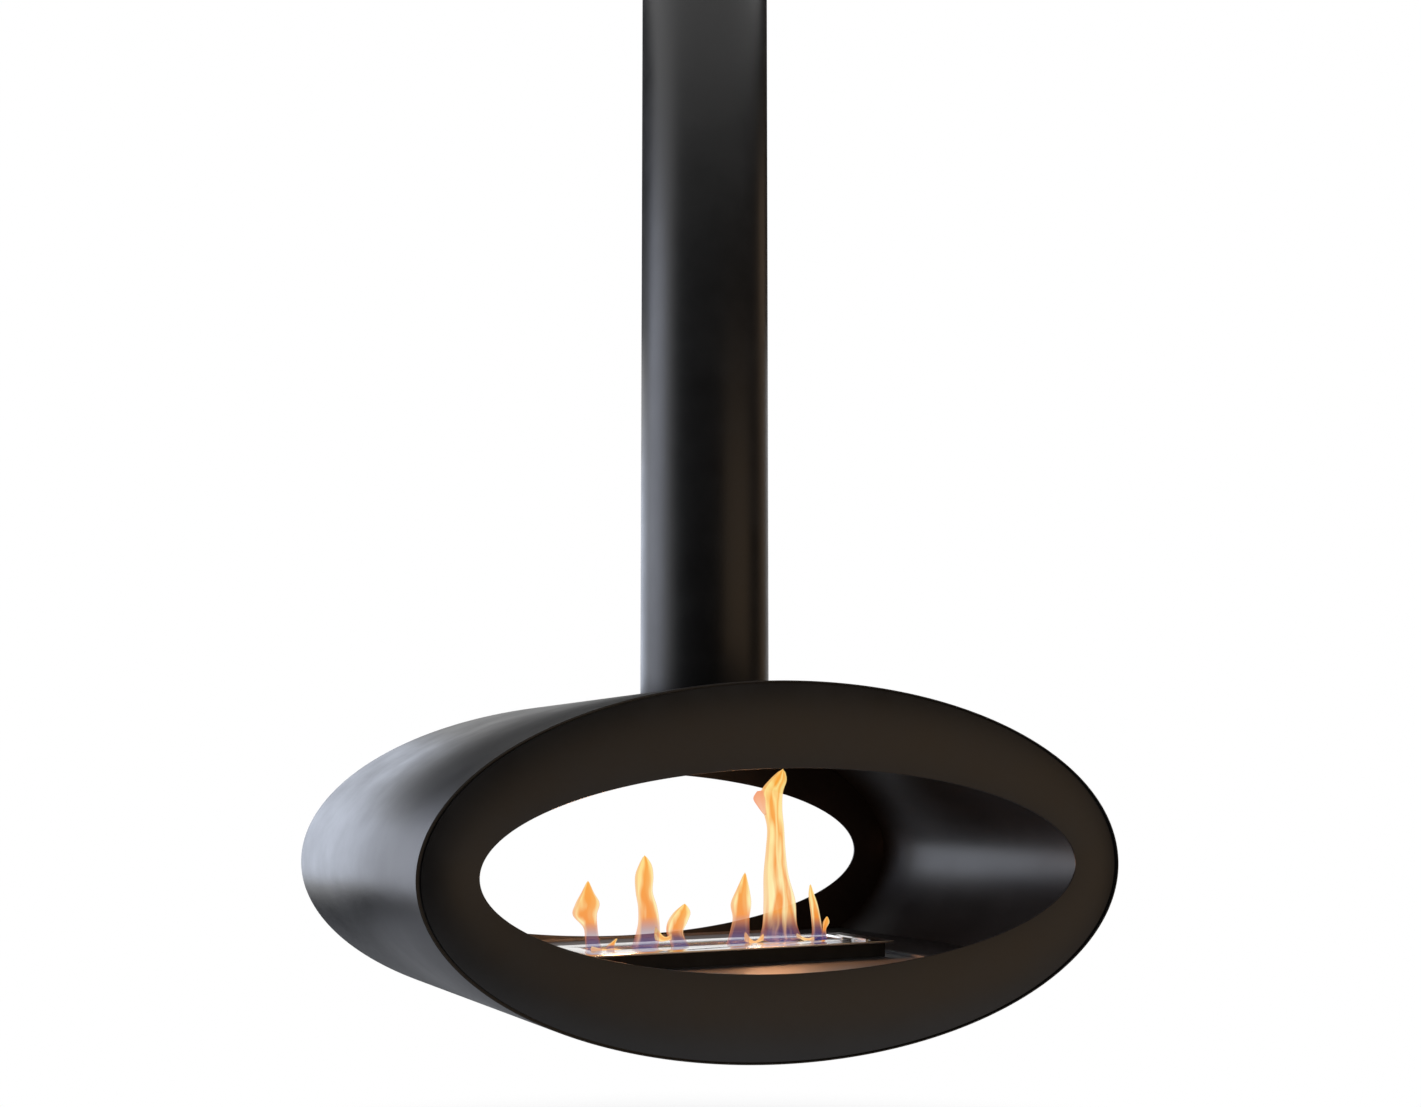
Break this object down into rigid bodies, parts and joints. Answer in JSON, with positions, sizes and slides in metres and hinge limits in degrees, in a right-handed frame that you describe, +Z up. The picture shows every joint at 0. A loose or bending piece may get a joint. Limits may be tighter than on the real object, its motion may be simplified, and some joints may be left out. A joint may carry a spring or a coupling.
{
  "type": "hanging fireplace",
  "caption": "See-through fireplace: a satin black elliptical steel tunnel hung from the ceiling by a round pipe, with a lift-out linear ethanol burner and slide damper.",
  "frame": {"origin": "middle of the ceiling plate's upper face, where the fireplace is fastened to the ceiling", "axes": "+Z up along the pipe, +X right across the face as seen from the front, +Y back through the tunnel, away from the front face"},
  "size_m": [1.1, 0.63, 1.642],
  "materials": {
    "satin_black": "satin powder coat",
    "burner_black": "satin heat-resistant paint",
    "brushed_stainless": "long-grain brushed",
    "zinc_plate": "bright zinc plate",
    "raw_steel": "mill finish",
    "ceramic_wool": "matt fibre"
  },
  "bodies": {
    "frame": {"ceiling_plate": "raw_steel", "hanger_yoke": "zinc_plate", "yoke_bolt_left": "zinc_plate", "yoke_bolt_right": "zinc_plate", "suspension_rod": "zinc_plate", "upper_nut": "zinc_plate", "upper_washer": "zinc_plate", "upper_lock_nut": "zinc_plate", "hanging_pipe": "satin_black", "pipe_foot": "raw_steel", "outer_shell": "satin_black", "front_face_plate": "satin_black", "rear_face_plate": "satin_black", "front_rib": "satin_black", "rear_rib": "satin_black", "hanger_bridge": "raw_steel", "lower_washer": "zinc_plate", "lower_nut": "zinc_plate", "lower_lock_nut": "zinc_plate", "inner_liner": "satin_black", "insulation_left": "ceramic_wool", "insulation_right": "ceramic_wool", "nut_cover": "satin_black", "cover_screw_1": "satin_black", "cover_screw_2": "satin_black", "cover_screw_3": "satin_black", "floor_tray": "satin_black", "floor_wing_left": "satin_black", "floor_wing_right": "satin_black", "floor_rail_front": "raw_steel", "floor_rail_rear": "raw_steel"},
    "burner": {"burner_skirt": "burner_black", "burner_rim": "brushed_stainless", "fuel_tank": "brushed_stainless", "flame_grid": "brushed_stainless", "damper_guide_left": "brushed_stainless", "damper_guide_right": "brushed_stainless", "wool_pad_1": "ceramic_wool", "wool_pad_2": "ceramic_wool", "wool_pad_3": "ceramic_wool"},
    "damper": {"damper_plate": "brushed_stainless"}
  },
  "joints": [
    {"name": "burner_lift", "type": "slide", "parent": "frame", "child": "burner", "axis": [0, 0, 1], "range_m": [0, 0.09]},
    {"name": "damper_slide", "type": "slide", "parent": "burner", "child": "damper", "axis": [0, 1, 0], "range_m": [0, 0.049]}
  ]
}
